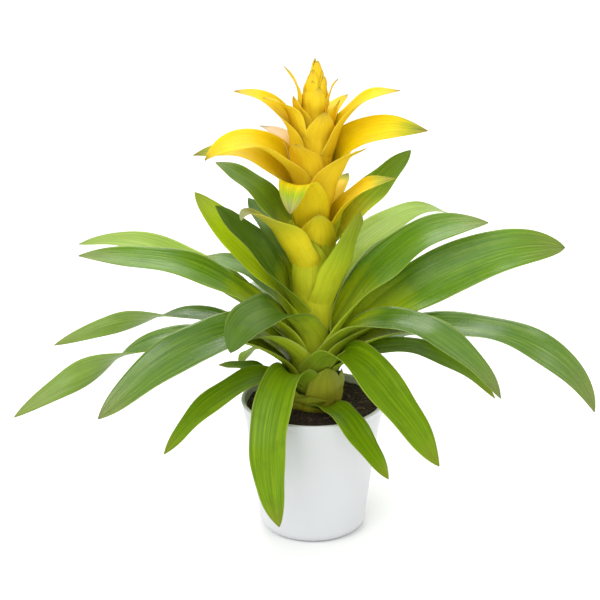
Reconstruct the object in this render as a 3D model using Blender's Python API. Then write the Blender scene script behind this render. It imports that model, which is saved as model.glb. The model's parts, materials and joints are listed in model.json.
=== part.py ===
"""Potted bromeliad: a rosette of strap leaves and a spike of yellow bracts in a glazed pot.

Metres, +Z up. The origin is the centre of the pot's flat base. Azimuths are in degrees
around +Z: 0 is to the right (+X), 180 to the left, -90 to the front and 90 to the back.
"""
import math
from dataclasses import dataclass

import bmesh
import bpy
import numpy as np

MM = 0.001

# Pot
POT_RIM_RADIUS = 70.0
POT_HEIGHT = 134.0
POT_WALL = 4.0
POT_FLOOR = 6.0
POT_FOOT_FLAT_RADIUS = 40.0
POT_SEGMENTS = 48

# Soil
SOIL_TOP = 127.0
SOIL_CROWN = 2.5
SOIL_DEPTH = 34.0
GAP = 0.35

# Stem with its packed leaf bases, and the bud that ends it
STEM_FOOT = 100.0
STEM_SHAPE = ((100.0, 13.0), (124.0, 18.5), (150.0, 18.0), (200.0, 16.0), (250.0, 13.0),
              (300.0, 12.0), (360.0, 10.5), (396.0, 7.6), (410.0, 6.4))
BUD_SHAPE = ((410.5, 5.8), (420.0, 7.6), (436.0, 9.2), (450.0, 8.2), (462.0, 5.4), (471.5, 1.2))
BUD_LEAN = 0.05

# Blades
BLADE_THICKNESS = 1.2
FOOT_CLEARANCE = 0.6
TIP_WIDTH = 1.6
LEAF_CELLS = (11, 4)
BRACT_CELLS = (8, 4)


@dataclass(frozen=True)
class Blade:
    """One leaf or bract, growing from the stem at `foot` and ending at (reach, tip).

    Lengths are in millimetres and angles in degrees. `rise` and `fall` are the slopes of
    the midrib at its two ends, and `bow` says how far each slope carries, as a share of
    the straight distance from foot to tip. `sway` bends the blade sideways, `roll` and
    `twist` turn its face, `hug` is the share that wraps the stem, `channel` the depth of
    the gutter as a share of the width, and `base` the width at the foot as a share of
    the full width.
    """

    name: str
    turn: float
    foot: float
    reach: float
    tip: float
    rise: float
    fall: float
    width: float
    bow: tuple = (0.38, 0.38)
    sway: float = 0.0
    roll: float = 0.0
    twist: float = 0.0
    twist_span: tuple = (0.5, 0.85)
    hug: float = 0.22
    channel: float = 0.1
    base: float = 0.55
    is_bract: bool = False
    tint: str = "leaf"


def leaf(name, turn, foot, reach, tip, rise, fall, width, **more):
    """A green strap leaf."""
    return Blade(name, turn, foot, reach, tip, rise, fall, width, **more)


def bract(name, turn, foot, reach, tip, rise, fall, width, bow=(0.5, 0.42), **more):
    """A cupped bract of the flower spike."""
    settings = dict(hug=0.45, channel=0.14, base=0.6, is_bract=True, tint="bract")
    settings.update(more)
    return Blade(name, turn, foot, reach, tip, rise, fall, width, bow=bow, **settings)


LOW_LEAVES = (
    leaf("leaf_low_front", -120, 158, 110, 47, 62, -102, 41, bow=(0.42, 0.6), sway=13),
    leaf("leaf_low_front_right", -68, 136, 138, 104, 24, -48, 30, sway=8),
    leaf("leaf_low_left", 205, 148, 156, 104, 50, -50, 33, roll=-12),
    leaf("leaf_low_left_short", 168, 142, 94, 160, 22, -10, 28),
    leaf("leaf_low_right", -12, 166, 177, 149, 43, -50, 30, bow=(0.42, 0.4), roll=12),
    leaf("leaf_low_back", 90, 146, 165, 120, 40, -60, 34),
    leaf("leaf_low_back_left", 128, 154, 120, 128, 42, -60, 28),
    leaf("leaf_low_back_right", 62, 150, 140, 125, 42, -60, 30),
)

MIDDLE_LEAVES = (
    leaf("leaf_mid_front_right", -54, 174, 169, 119, 60, -50, 49, bow=(0.36, 0.45), sway=7),
    leaf("leaf_mid_back_left", 148, 162, 131, 147, 46, -70, 28, bow=(0.45, 0.5)),
    leaf("leaf_mid_left", 205, 178, 218, 149, 58, -42, 49, bow=(0.42, 0.4), roll=-25, sway=-2),
    leaf("leaf_mid_left_long", 190, 165, 288, 135, 48, -36, 38, roll=-10, twist=150),
    leaf("leaf_mid_left_curled", 172, 172, 256, 174, 45, -26, 30, bow=(0.44, 0.3), roll=-10,
         twist=120, twist_span=(0.45, 0.8)),
    leaf("leaf_mid_front_left", -130, 206, 119, 218, 64, -62, 48, bow=(0.48, 0.4), roll=-8),
    leaf("leaf_mid_right_long", -8, 171, 271, 135, 47, -74, 38, roll=15, twist=150),
    leaf("leaf_mid_right", -25, 186, 192, 168, 62, -60, 42, bow=(0.44, 0.4), roll=10),
    leaf("leaf_mid_back_right", 40, 158, 161, 160, 37, -12, 30),
    leaf("leaf_mid_back_a", 115, 180, 190, 175, 48, -45, 38),
    leaf("leaf_mid_back_b", 78, 187, 185, 190, 50, -45, 36),
)

HIGH_LEAVES = (
    leaf("leaf_high_right_wide", 8, 180, 245, 276, 38, -10, 54, bow=(0.3, 0.38), roll=45),
    leaf("leaf_high_right", 10, 197, 170, 303, 61, -8, 48, roll=24),
    leaf("leaf_high_right_behind", 48, 225, 226, 257, 75, -45, 38, bow=(0.28, 0.38), roll=6),
    leaf("leaf_high_back_right", 60, 193, 144, 262, 52, 8, 38),
    leaf("leaf_high_left", 188, 198, 221, 291, 48, 2, 40, bow=(0.42, 0.4), roll=-24),
    leaf("leaf_high_left_behind", 160, 189, 246, 262, 42, -22, 32, bow=(0.3, 0.38), roll=-25),
    leaf("leaf_high_left_short", 164, 213, 112, 267, 63, -5, 33, roll=-12),
    leaf("leaf_high_left_upright", 172, 223, 113, 338, 64, 52, 36, roll=-50),
    leaf("leaf_high_back_left", 130, 243, 98, 313, 74, 30, 32, roll=-12),
    leaf("leaf_high_left_folded", 206, 227, 100, 344, 64, 50, 40, roll=-45, channel=0.2),
    leaf("leaf_high_back", 98, 206, 130, 262, 62, 0, 38),
)

SPIKE_LEAVES = (
    leaf("spike_leaf_left", 157, 292, 101, 360, 48, 12, 33, roll=-15, tint="spike_leaf"),
    leaf("spike_leaf_right", 20, 288, 98, 374, 52, 45, 42, roll=15, tint="spike_leaf"),
)

BRACTS = (
    bract("bract_low_front_right", -40, 238, 55, 335, 62, 75, 50, tint="green_bract"),
    bract("bract_low_back", 95, 256, 78, 312, 66, 0, 40, tint="green_bract"),
    bract("bract_low_left", 220, 268, 87, 334, 64, -80, 50, bow=(0.62, 0.2), tint="green_bract"),
    bract("bract_low_back_right", 66, 294, 84, 338, 66, 0, 36),
    bract("bract_mid_right", -10, 300, 76, 361, 68, 14, 40, roll=12),
    bract("bract_mid_back", 110, 305, 80, 345, 68, -10, 38),
    bract("bract_mid_front", -110, 315, 63, 341, 74, -82, 48, bow=(1.1, 0.6)),
    bract("bract_mid_back_left", 124, 319, 80, 362, 68, -10, 34),
    bract("bract_mid_left_lower", 180, 329, 112, 379, 70, -18, 40, bow=(0.42, 0.45), roll=-20),
    bract("bract_mid_front_right", -40, 334, 62, 398, 72, 30, 48),
    bract("bract_mid_back_right", 56, 330, 80, 374, 68, -5, 34),
    bract("bract_mid_left_long", 200, 346, 106, 385, 75, -45, 46, bow=(0.42, 0.45), roll=-16),
    bract("bract_high_right_wide", -10, 352, 106, 408, 74, -6, 42, bow=(0.38, 0.6), roll=38),
    bract("bract_high_back_left", 144, 358, 63, 397, 72, 0, 28),
    bract("bract_high_back", 90, 343, 60, 398, 68, -10, 34),
    bract("bract_high_left", 190, 368, 74, 444, 76, 8, 46, roll=-12),
    bract("bract_high_right", -10, 373, 80, 445, 72, 6, 42, roll=8),
    bract("bract_high_front_left", 212, 380, 54, 442, 76, 15, 34),
    bract("bract_high_back_right", 50, 390, 50, 427, 80, 15, 28),
    bract("bract_tip_left", 180, 400, 27, 464, 84, 48, 18, bow=(0.5, 0.35)),
    bract("bract_tip_right", 0, 396, 22, 452, 86, 50, 16, bow=(0.5, 0.35)),
)

MATERIALS = {
    "pot": ((0.80, 0.81, 0.82), 0.25),
    "soil": ((0.035, 0.022, 0.015), 0.95),
    "stem": ((0.42, 0.47, 0.06), 0.55),
    "leaf": ((0.11, 0.30, 0.02), 0.38),
    "spike_leaf": ((0.26, 0.42, 0.03), 0.4),
    "green_bract": ((0.55, 0.55, 0.03), 0.45),
    "bract": ((0.86, 0.55, 0.01), 0.45),
    "bud": ((0.88, 0.60, 0.01), 0.45),
}


def clear_scene():
    """Remove whatever objects the scene starts with."""
    for item in list(bpy.data.objects):
        bpy.data.objects.remove(item, do_unlink=True)


def smooth_step(start, end, value):
    """Ease from 0 at `start` to 1 at `end`."""
    share = np.clip((value - start) / (end - start), 0.0, 1.0)
    return share * share * (3.0 - 2.0 * share)


def stem_radius(height):
    """Radius of the stem at a height, in millimetres."""
    heights = [row[0] for row in STEM_SHAPE]
    radii = [row[1] for row in STEM_SHAPE]
    return float(np.interp(height, heights, radii))


def finish_material(name):
    """The Principled material of one kind of sub-part."""
    colour, roughness = MATERIALS[name]
    material = bpy.data.materials.new(name)
    material.use_nodes = True
    shader = material.node_tree.nodes["Principled BSDF"]
    shader.inputs["Base Color"].default_value = (*colour, 1.0)
    shader.inputs["Roughness"].default_value = roughness
    shader.inputs["Metallic"].default_value = 0.0
    return material


def add_object(name, mesh_data, material_name):
    """Turn a bmesh into a named object with its own material."""
    mesh = bpy.data.meshes.new(name)
    mesh_data.to_mesh(mesh)
    mesh_data.free()
    item = bpy.data.objects.new(name, mesh)
    bpy.context.collection.objects.link(item)
    mesh.materials.append(finish_material(material_name))
    mesh.shade_smooth()
    mesh.set_sharp_from_angle(angle=math.radians(40.0))
    return item


def turned(name, outline, segments, material_name):
    """Spin a closed or axis-to-axis outline of (radius, height) around the Z axis."""
    data = bmesh.new()
    corners = [data.verts.new((radius * MM, 0.0, height * MM)) for radius, height in outline]
    edges = [data.edges.new(pair) for pair in zip(corners, corners[1:])]
    closed = outline[0][0] > 0.0 and outline[-1][0] > 0.0
    if closed:
        edges.append(data.edges.new((corners[-1], corners[0])))
    bmesh.ops.spin(data, geom=corners + edges, cent=(0.0, 0.0, 0.0), axis=(0.0, 0.0, 1.0),
                   angle=math.tau, steps=segments, use_merge=True)
    bmesh.ops.remove_doubles(data, verts=data.verts, dist=1e-6)
    bmesh.ops.recalc_face_normals(data, faces=data.faces)
    return add_object(name, data, material_name)


def corner_arc(centre, radius, start, end, steps):
    """Points on an arc in the (radius, height) plane, angles in degrees."""
    points = []
    for step in range(steps + 1):
        angle = math.radians(start + (end - start) * step / steps)
        points.append((centre[0] + radius * math.cos(angle), centre[1] + radius * math.sin(angle)))
    return points


def pot_outer_radius(height):
    """Slightly flared side of the pot above its rounded foot."""
    return float(np.interp(height, (16.0, 46.0, 76.0, 106.0, POT_HEIGHT),
                           (52.5, 56.0, 60.0, 64.6, POT_RIM_RADIUS)))


def build_pot():
    """Pot: flat base, rounded foot, flared side, soft rim, and an even inner wall."""
    foot = [(0.0, 0.0), (POT_FOOT_FLAT_RADIUS, 0.0)]
    foot += corner_arc((POT_FOOT_FLAT_RADIUS, 12.6), 12.6, -68.0, -6.0, 4)
    side = [(pot_outer_radius(height), height) for height in (30.0, 60.0, 90.0, 114.0)]
    lip_centre = (POT_RIM_RADIUS - POT_WALL / 2.0, POT_HEIGHT - POT_WALL / 2.0)
    lip = corner_arc(lip_centre, POT_WALL / 2.0, 0.0, 180.0, 6)
    inside = [(pot_outer_radius(height) - POT_WALL, height) for height in (114.0, 90.0, 60.0, 30.0)]
    floor = [(44.0, POT_FLOOR + 4.0), (38.0, POT_FLOOR), (0.0, POT_FLOOR)]
    return turned("pot", foot + side + lip + inside + floor, POT_SEGMENTS, "pot")


def build_soil():
    """Soil: a gently crowned plug around the stem, standing clear of both."""
    bottom = SOIL_TOP - SOIL_DEPTH
    outer_low = pot_outer_radius(bottom) - POT_WALL - GAP - 0.4
    outer_high = pot_outer_radius(SOIL_TOP) - POT_WALL - GAP - 0.4
    inner_high = stem_radius(SOIL_TOP) + GAP + 0.3
    outline = [
        (0.0, bottom),
        (outer_low, bottom),
        (outer_high, SOIL_TOP - 1.5),
        (outer_high - 3.0, SOIL_TOP),
        (inner_high + 16.0, SOIL_TOP + SOIL_CROWN * 0.6),
        (inner_high, SOIL_TOP + SOIL_CROWN),
        (inner_high, STEM_FOOT - GAP),
        (0.0, STEM_FOOT - GAP),
    ]
    return turned("soil", outline, 36, "soil")


def build_stem():
    """Stem: the thick leaf base at the soil tapering to the top of the spike."""
    outline = [(0.0, STEM_SHAPE[0][0])]
    outline += [(radius, height) for height, radius in STEM_SHAPE]
    outline += [(0.0, STEM_SHAPE[-1][0])]
    return turned("stem", outline, 28, "stem")


def build_bud():
    """Bud: the closed top of the flower spike."""
    outline = [(0.0, BUD_SHAPE[0][0])]
    outline += [(radius, height) for height, radius in BUD_SHAPE]
    outline += [(0.0, BUD_SHAPE[-1][0] + 0.5)]
    bud = turned("bud", outline, 24, "bud")
    for corner in bud.data.vertices:
        corner.co.x += BUD_LEAN * (corner.co.z - BUD_SHAPE[0][0] * MM)
    return bud


def midrib(blade, samples=80):
    """Points, tangents and length shares of a blade's midrib, in millimetres."""
    start = np.array([stem_radius(blade.foot) + FOOT_CLEARANCE, blade.foot])
    end = np.array([blade.reach, blade.tip])
    chord = np.linalg.norm(end - start)
    rise = math.radians(blade.rise)
    fall = math.radians(blade.fall)
    handle_a = start + blade.bow[0] * chord * np.array([math.cos(rise), math.sin(rise)])
    handle_b = end - blade.bow[1] * chord * np.array([math.cos(fall), math.sin(fall)])
    step = np.linspace(0.0, 1.0, samples)
    share = step[:, None]
    rest = 1.0 - share
    flat = (rest ** 3 * start + 3.0 * rest ** 2 * share * handle_a
            + 3.0 * rest * share ** 2 * handle_b + share ** 3 * end)
    turn = np.radians(blade.turn + blade.sway * step ** 2)
    points = np.stack([flat[:, 0] * np.cos(turn), flat[:, 0] * np.sin(turn), flat[:, 1]], axis=1)
    spans = np.linalg.norm(np.diff(points, axis=0), axis=1)
    length = np.concatenate([[0.0], np.cumsum(spans)])
    tangents = np.gradient(points, length, axis=0)
    tangents /= np.linalg.norm(tangents, axis=1)[:, None]
    return points, tangents, turn, flat[:, 0], length / length[-1]


def width_share(blade, along):
    """Width of a blade as a share of its full width, from foot (0) to tip (1)."""
    if blade.is_bract:
        swell = blade.base + (1.0 - blade.base) * smooth_step(0.0, 0.42, along)
        taper = np.maximum(0.0, 1.0 - along ** 2.6) ** 0.95
    else:
        swell = blade.base + (1.0 - blade.base) * smooth_step(0.0, 0.45, along)
        taper = np.maximum(0.0, 1.0 - along ** 4.2) ** 0.85
    return swell * taper


def blade_surface(blade, along, across):
    """Points of a blade's upper face.

    `along` runs from 0 at the foot to 1 at the tip, `across` from -1 to 1.
    """
    points, tangents, turn, radius, shares = midrib(blade)
    point = np.array([np.interp(along, shares, points[:, axis]) for axis in range(3)])
    tangent = np.array([np.interp(along, shares, tangents[:, axis]) for axis in range(3)])
    tangent /= np.linalg.norm(tangent)
    angle = np.interp(along, shares, turn)
    side = np.array([-math.sin(angle), math.cos(angle), 0.0])
    side -= side.dot(tangent) * tangent
    side /= np.linalg.norm(side)
    face = np.cross(tangent, side)
    spin = math.radians(blade.roll * smooth_step(0.05, 0.5, along)
                        + blade.twist * smooth_step(*blade.twist_span, along))
    side, face = (side * math.cos(spin) + face * math.sin(spin),
                  face * math.cos(spin) - side * math.sin(spin))
    width = max(blade.width * float(width_share(blade, along)), TIP_WIDTH)
    hold = 1.0 - smooth_step(blade.hug * 0.4, blade.hug * 1.5, along)
    around = max(float(np.interp(along, shares, radius)), 4.0)
    curve = hold / around + (1.0 - hold) * 8.0 * blade.channel / blade.width
    bend = across * width / 2.0 * curve
    return point + side * math.sin(bend) / curve + face * (1.0 - math.cos(bend)) / curve


def build_blade(blade):
    """One leaf or bract: a shaped grid given an even thickness on its lower face."""
    cells_along, cells_across = BRACT_CELLS if blade.is_bract else LEAF_CELLS
    data = bmesh.new()
    bmesh.ops.create_grid(data, x_segments=cells_across, y_segments=cells_along, size=0.5)
    for corner in data.verts:
        along = min(max(corner.co.y + 0.5, 0.0), 1.0)
        across = corner.co.x * 2.0
        corner.co = blade_surface(blade, along, across) * MM
    item = add_object(blade.name, data, blade.tint)
    solid = item.modifiers.new("thickness", "SOLIDIFY")
    solid.thickness = BLADE_THICKNESS * MM
    solid.offset = 1.0
    solid.use_rim = True
    return item


def main():
    """Build every sub-part of the plant and its pot."""
    clear_scene()
    build_pot()
    build_soil()
    build_stem()
    build_bud()
    for group in (LOW_LEAVES, MIDDLE_LEAVES, HIGH_LEAVES, SPIKE_LEAVES, BRACTS):
        for blade in group:
            build_blade(blade)


main()
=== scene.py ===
"""Dress the potted bromeliad: glazed pot, peat, leaf rosette, flower spike, studio.

Lengths are in millimetres until a mesh is made, and heights count from the surface the
pot stands on. Azimuths are in degrees around +Z: 0 is right, 180 left, -90 the front and
90 the back.
"""
import json
import logging
import math
import random
from collections.abc import Iterable
from dataclasses import dataclass, field
from enum import Enum
from typing import Any

import bmesh
import bpy
import numpy as np
from mathutils import Matrix, Vector, noise

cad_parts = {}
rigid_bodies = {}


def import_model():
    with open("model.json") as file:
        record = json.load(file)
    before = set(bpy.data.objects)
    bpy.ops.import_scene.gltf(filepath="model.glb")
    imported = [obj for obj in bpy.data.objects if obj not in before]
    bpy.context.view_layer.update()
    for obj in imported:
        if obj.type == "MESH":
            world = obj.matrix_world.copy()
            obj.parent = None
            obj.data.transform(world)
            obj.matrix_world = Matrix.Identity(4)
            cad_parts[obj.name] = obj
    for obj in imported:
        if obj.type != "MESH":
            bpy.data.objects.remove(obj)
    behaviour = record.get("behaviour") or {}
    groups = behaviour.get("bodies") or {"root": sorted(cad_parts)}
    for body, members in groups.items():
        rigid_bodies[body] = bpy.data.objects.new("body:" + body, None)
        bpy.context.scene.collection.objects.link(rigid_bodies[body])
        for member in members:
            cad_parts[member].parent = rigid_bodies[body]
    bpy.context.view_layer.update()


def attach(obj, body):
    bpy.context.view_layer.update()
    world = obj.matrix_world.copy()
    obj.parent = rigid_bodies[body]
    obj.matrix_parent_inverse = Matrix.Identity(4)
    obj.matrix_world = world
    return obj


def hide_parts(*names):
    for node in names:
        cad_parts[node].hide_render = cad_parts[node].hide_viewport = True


for spare in list(bpy.data.objects):
    bpy.data.objects.remove(spare, do_unlink=True)
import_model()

MM = 0.001
LOG = logging.getLogger("bromeliad")


# ---- colours


def linear(hex_colour: str) -> tuple[float, float, float, float]:
    """Turn an sRGB hex colour into linear RGBA.

    Args:
        hex_colour: Six hex digits, with or without a leading hash.

    Returns:
        Linear red, green, blue and an alpha of 1.
    """
    digits = hex_colour.lstrip("#")
    channels = [int(digits[start:start + 2], 16) / 255.0 for start in (0, 2, 4)]
    curve = [c / 12.92 if c <= 0.04045 else ((c + 0.055) / 1.055) ** 2.4 for c in channels]
    return (curve[0], curve[1], curve[2], 1.0)


def add(tree: bpy.types.NodeTree, kind: str, values: dict[str | int, Any] | None = None,
        links: dict[str | int, bpy.types.NodeSocket] | None = None,
        **settings: Any) -> bpy.types.Node:
    """Add one node with its settings, input values and incoming links.

    Args:
        tree: The node tree to extend.
        kind: The node's type name, without the ShaderNode that they all start with.
        values: Input name or index to constant value.
        links: Input name or index to the output socket that feeds it.
        settings: Attributes set on the node itself.

    Returns:
        The new node.
    """
    node = tree.nodes.new(f"ShaderNode{kind}")
    for name, value in settings.items():
        setattr(node, name, value)
    set_inputs(node, values or {}, links or {})
    return node


def set_inputs(node: bpy.types.Node, values: dict[str | int, Any],
               links: dict[str | int, bpy.types.NodeSocket]) -> None:
    """Give a node's inputs what they hold or what feeds them.

    Args:
        node: The node.
        values: Input name or index to constant value.
        links: Input name or index to the output socket that feeds it.
    """
    for name, value in values.items():
        node.inputs[name].default_value = value
    for name, source in links.items():
        node.id_data.links.new(source, node.inputs[name])


def set_stops(ramp: bpy.types.Node, stops: Iterable[tuple[float, str]]) -> None:
    """Give a colour ramp its stops.

    Args:
        ramp: A colour ramp node.
        stops: Pairs of position and sRGB hex colour, in rising order.
    """
    elements = ramp.color_ramp.elements
    for index, (position, colour) in enumerate(stops):
        element = elements[index] if index < 2 else elements.new(position)
        element.position = position
        element.color = linear(colour)


def new_material(name: str) -> tuple[bpy.types.Material, bpy.types.NodeTree, bpy.types.Node]:
    """Start a node material.

    Args:
        name: The material's name.

    Returns:
        The material, its node tree and its Principled shader.
    """
    material = bpy.data.materials.new(name)
    material.use_nodes = True
    tree = material.node_tree
    return material, tree, tree.nodes["Principled BSDF"]


# ---- finishes


CM = 10.0  # millimetres in a unit of the "size" map
VEIN_RUN = 0.12  # how often veins change along the blade, per centimetre
BAND_RUN = 0.05  # the same for bands
BAND_VEINS = 4.5  # veins that one band is wide
BAND_DRIFT = 0.14  # how far bands push the borders of colour, as a share of the blade
FURROW_SHARE = 0.34  # strength of the dark furrows between veins
MARGIN_FROM = 0.468  # where the pale margin starts, the blade's middle being 0 and its side 0.5
MARGIN_SHARE = 0.55  # strength of the pale margin
UNDER_SHARE = 0.35  # how far the lower side turns to its own colour
UNDER_DULLER = 0.16  # added roughness of the lower side
WAX_ROUGHNESS = 0.28  # roughness of the waxy layer
VEIN_HEIGHT = 0.0006  # metres that veins and bands are raised, drawn coarse enough to show


@dataclass(frozen=True)
class TissueFinish:
    """Living leaf or bract tissue, grown with veins that run from foot to tip.

    The colour runs through `stops` from the foot (0) to the tip (1). Veins give the eye
    fine pale lengthwise lines, bands and patches of `shade` an uneven growth, and a waxy
    skin a soft, broad gloss.
    """

    name: str
    stops: tuple[tuple[float, str], ...]
    under: str
    edge: str
    vein: str
    roughness: float = 0.36
    coat: float = 0.0
    gloss: float = 0.14
    vein_share: float = 0.45
    vein_mm: float = 2.2
    patch_mm: float = 26.0
    patch_share: float = 0.4
    shade: str = "#2F5A10"

    def face(self) -> bpy.types.Material:
        """The upper side of the blade."""
        return self._material("upper", self.roughness, self.coat)

    def back(self) -> bpy.types.Material:
        """The lower side: paler, duller, with the same run of colour."""
        return self._material("lower", min(self.roughness + UNDER_DULLER, 0.8), 0.0)

    def _material(self, side: str, roughness: float, coat: float) -> bpy.types.Material:
        """Make the material of one side, or find it where it is already made.

        Args:
            side: "upper" or "lower".
            roughness: Base roughness of that side.
            coat: Weight of the waxy clear layer.

        Returns:
            The finished material.
        """
        title = f"{self.name}_{side}"
        ready = bpy.data.materials.get(title)
        if ready:
            return ready
        material, tree, shader = new_material(title)
        shape = add(tree, "UVMap", uv_map="shape")
        size = add(tree, "UVMap", uv_map="size")
        split = add(tree, "SeparateXYZ", links={0: shape.outputs["UV"]})
        # Veins are noise drawn out along the blade, one line every vein_mm across it; bands
        # are several veins wide, and patches as long as they are wide.
        veins, bands, patches = (
            add(tree, "TexNoise", values={"Scale": 1.0, "Detail": detail, "Roughness": fine},
                links={"Vector": add(tree, "Mapping", links={"Vector": size.outputs["UV"]},
                                     values={"Scale": (CM / wide, run, 1.0)}).outputs[0]}
                ).outputs["Fac"]
            for wide, run, detail, fine in (
                (self.vein_mm, VEIN_RUN, 3.0, 0.6),
                (self.vein_mm * BAND_VEINS, BAND_RUN, 1.0, 0.5),
                (self.patch_mm, CM / self.patch_mm, 3.0, 0.6)))
        # The run of colour from foot to tip, its borders made uneven by the bands.
        drift = add(tree, "Math", operation="MULTIPLY_ADD",
                    links={0: bands}, values={1: BAND_DRIFT, 2: -BAND_DRIFT / 2.0})
        run = add(tree, "Math", operation="ADD", use_clamp=True,
                  links={0: split.outputs["Y"], 1: drift.outputs[0]})
        ramp = add(tree, "ValToRGB", links={"Fac": run.outputs[0]})
        set_stops(ramp, self.stops)
        # Pale veins, dark furrows between them, then bands and patches of the shade.
        colour = ramp.outputs["Color"]
        for pattern, low, high, share, tint in (
                (veins, 0.46, 0.66, self.vein_share, self.vein),
                (veins, 0.46, 0.36, FURROW_SHARE, self.shade),
                (bands, 0.5, 0.72, self.patch_share, self.shade),
                (patches, 0.52, 0.74, self.patch_share, self.shade)):
            mask = add(tree, "MapRange", links={"Value": pattern},
                       values={"From Min": low, "From Max": high, "To Max": share})
            colour = add(tree, "Mix", data_type="RGBA", values={7: linear(tint)},
                         links={0: mask.outputs[0], 6: colour}).outputs[2]
        # A thin pale margin on both sides of the blade.
        from_middle = add(tree, "Math", operation="SUBTRACT",
                          links={0: split.outputs["X"]}, values={1: 0.5})
        margin_at = add(tree, "Math", operation="ABSOLUTE",
                        links={0: from_middle.outputs[0]})
        margin = add(tree, "MapRange", links={"Value": margin_at.outputs[0]},
                     values={"From Min": MARGIN_FROM, "From Max": 0.5, "To Max": MARGIN_SHARE})
        colour = add(tree, "Mix", data_type="RGBA", values={7: linear(self.edge)},
                     links={0: margin.outputs[0], 6: colour}).outputs[2]
        if side == "lower":
            colour = add(tree, "Mix", data_type="RGBA", links={6: colour},
                         values={0: UNDER_SHARE, 7: linear(self.under)}).outputs[2]
        rough = add(tree, "MapRange", links={"Value": patches},
                    values={"From Min": 0.3, "From Max": 0.7, "To Min": roughness - 0.06,
                            "To Max": roughness + 0.08})
        relief = add(tree, "Math", operation="ADD", links={0: veins, 1: bands})
        bump = add(tree, "Bump", links={"Height": relief.outputs[0]},
                   values={"Strength": 0.9, "Distance": VEIN_HEIGHT})
        set_inputs(shader, {"Specular IOR Level": self.gloss, "Coat Weight": coat,
                            "Coat Roughness": WAX_ROUGHNESS},
                   {"Base Color": colour, "Roughness": rough.outputs[0],
                    "Normal": bump.outputs["Normal"]})
        return material


@dataclass(frozen=True)
class GlazeFinish:
    """White-glazed earthenware, dipped and fired: an even satin skin on a slight orange peel."""

    name: str = "pot_white_glaze"
    colour: str = "#D4D5D8"
    shade: str = "#CED0D3"
    roughness: float = 0.3
    tone_mm: float = 60.0
    peel_mm: float = 5.0
    peel_height: float = 0.00012

    def material(self) -> bpy.types.Material:
        """The glaze of the pot."""
        material, tree, shader = new_material(self.name)
        place = add(tree, "TexCoord")
        tone = add(tree, "TexNoise", links={"Vector": place.outputs["Object"]},
                   values={"Scale": 1.0 / (self.tone_mm * MM), "Detail": 2.0})
        peel = add(tree, "TexNoise", links={"Vector": place.outputs["Object"]},
                   values={"Scale": 1.0 / (self.peel_mm * MM), "Detail": 1.0})
        mix = add(tree, "Mix", data_type="RGBA", links={0: tone.outputs["Fac"]},
                  values={6: linear(self.colour), 7: linear(self.shade)})
        rough = add(tree, "MapRange", links={"Value": tone.outputs["Fac"]},
                    values={"To Min": self.roughness - 0.05, "To Max": self.roughness + 0.08})
        bump = add(tree, "Bump", links={"Height": peel.outputs["Fac"]},
                   values={"Strength": 0.25, "Distance": self.peel_height})
        set_inputs(shader, {"IOR": 1.5},
                   {"Base Color": mix.outputs[2], "Roughness": rough.outputs[0],
                    "Normal": bump.outputs["Normal"]})
        return material


@dataclass(frozen=True)
class PeatFinish:
    """Moist peat with bark crumbs: near black, matt, with brown flecks and pale fibre."""

    name: str
    dark: str = "#1B1310"
    light: str = "#4A3628"
    grain_mm: float = 2.2
    grain_height: float = 0.0012

    def material(self) -> bpy.types.Material:
        """The peat of the soil bed, its crumbs or its fibres."""
        material, tree, shader = new_material(self.name)
        place = add(tree, "TexCoord")
        grain = add(tree, "TexNoise", links={"Vector": place.outputs["Object"]},
                    values={"Scale": 1.0 / (self.grain_mm * MM), "Detail": 5.0, "Roughness": 0.7})
        ramp = add(tree, "ValToRGB", links={"Fac": grain.outputs["Fac"]})
        set_stops(ramp, ((0.42, self.dark), (0.72, self.light)))
        bump = add(tree, "Bump", links={"Height": grain.outputs["Fac"]},
                   values={"Strength": 0.9, "Distance": self.grain_height})
        set_inputs(shader, {"Roughness": 0.85},
                   {"Base Color": ramp.outputs["Color"], "Normal": bump.outputs["Normal"]})
        return material


def bract_tissue(name: str, stops: tuple[tuple[float, str], ...], roughness: float = 0.45,
                 **rest: Any) -> TissueFinish:
    """Bract tissue: duller than a leaf, with finer veins and smaller, stronger patches."""
    return TissueFinish(name, stops, roughness=roughness, vein_mm=1.7, patch_mm=14.0,
                        patch_share=0.5, **rest)


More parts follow.
